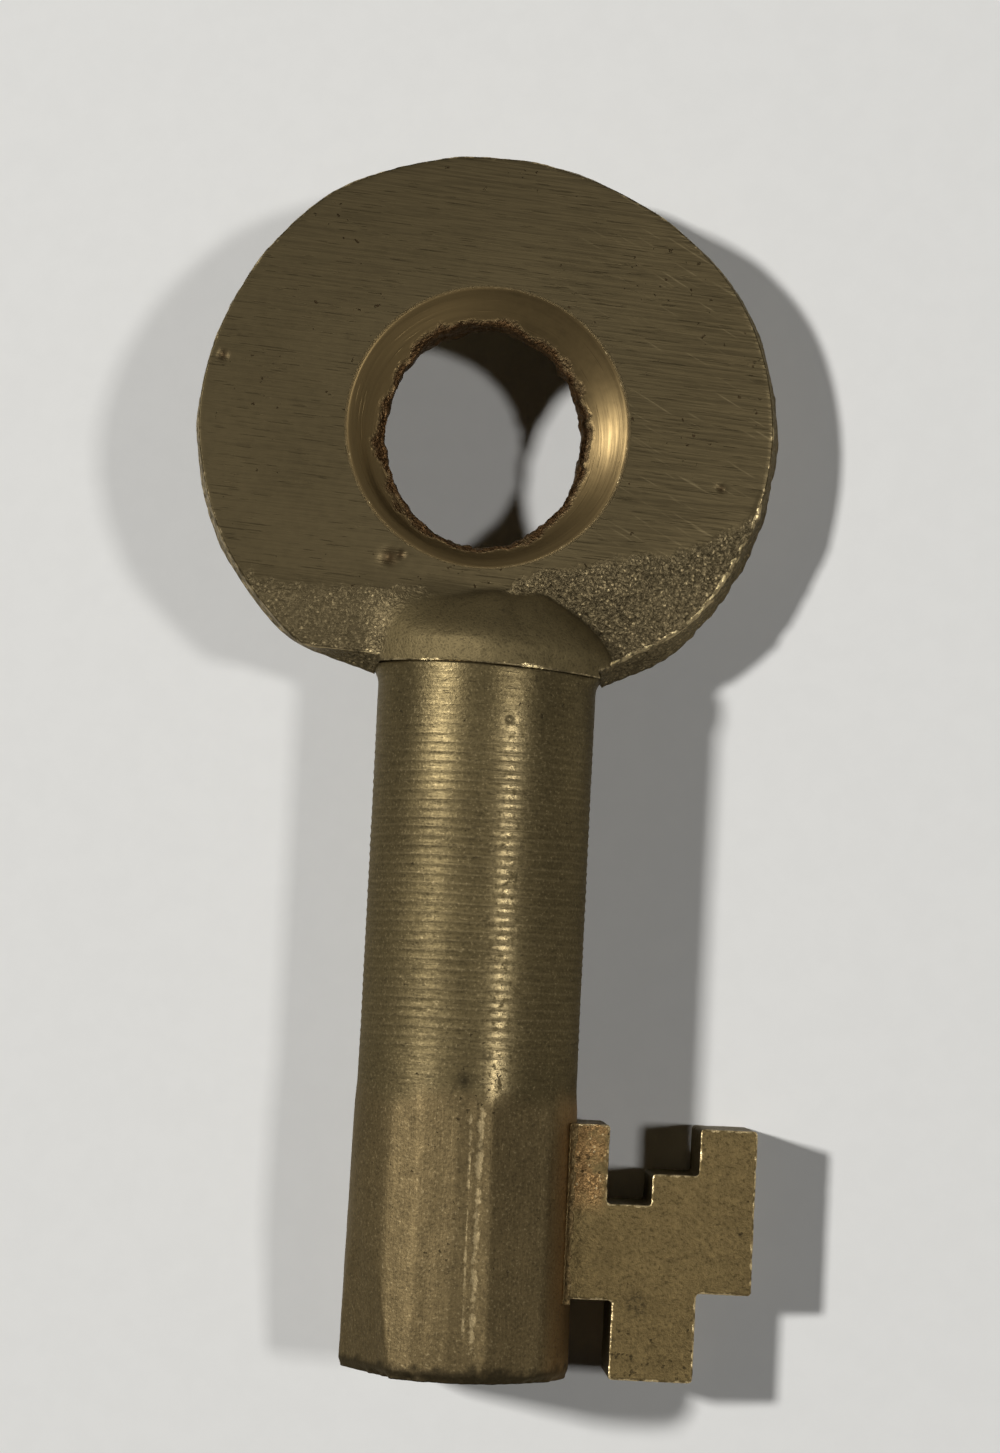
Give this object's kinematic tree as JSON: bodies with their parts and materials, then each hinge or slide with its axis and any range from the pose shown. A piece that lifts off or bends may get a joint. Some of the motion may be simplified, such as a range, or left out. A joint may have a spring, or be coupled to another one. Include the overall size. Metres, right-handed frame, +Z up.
{
  "type": "railroad switch key",
  "caption": "Hollow-barrel brass switch key with a round drilled bow, a domed neck and a ward-cut bit; it turns a padlock on railway track switches.",
  "frame": {"origin": "centre of the pin hole's mouth, on the barrel's axis at the tip", "axes": "+Y along the barrel towards the bow, +Z up from the surface the key lies on. The key is rolled 14.27 degrees about Y, as it rests on the underside of its barrel and the edge of its bit, so the bit points along +X and that much down, and bow_hole gives the way that the front face looks"},
  "size_m": [0.0257, 0.0529, 0.01],
  "materials": {
    "cast_brass": "aged cast brass, filed faces with fine scratches and pits",
    "turned_brass": "aged turned brass with lathe rings",
    "milled_brass": "aged milled brass with bright worn edges",
    "braze": "coppery braze, slightly rough"
  },
  "bodies": {
    "root": {"bow": "cast_brass", "barrel": "turned_brass", "bit": "milled_brass", "neck_braze": "braze", "bit_braze": "braze"}
  },
  "joints": []
}
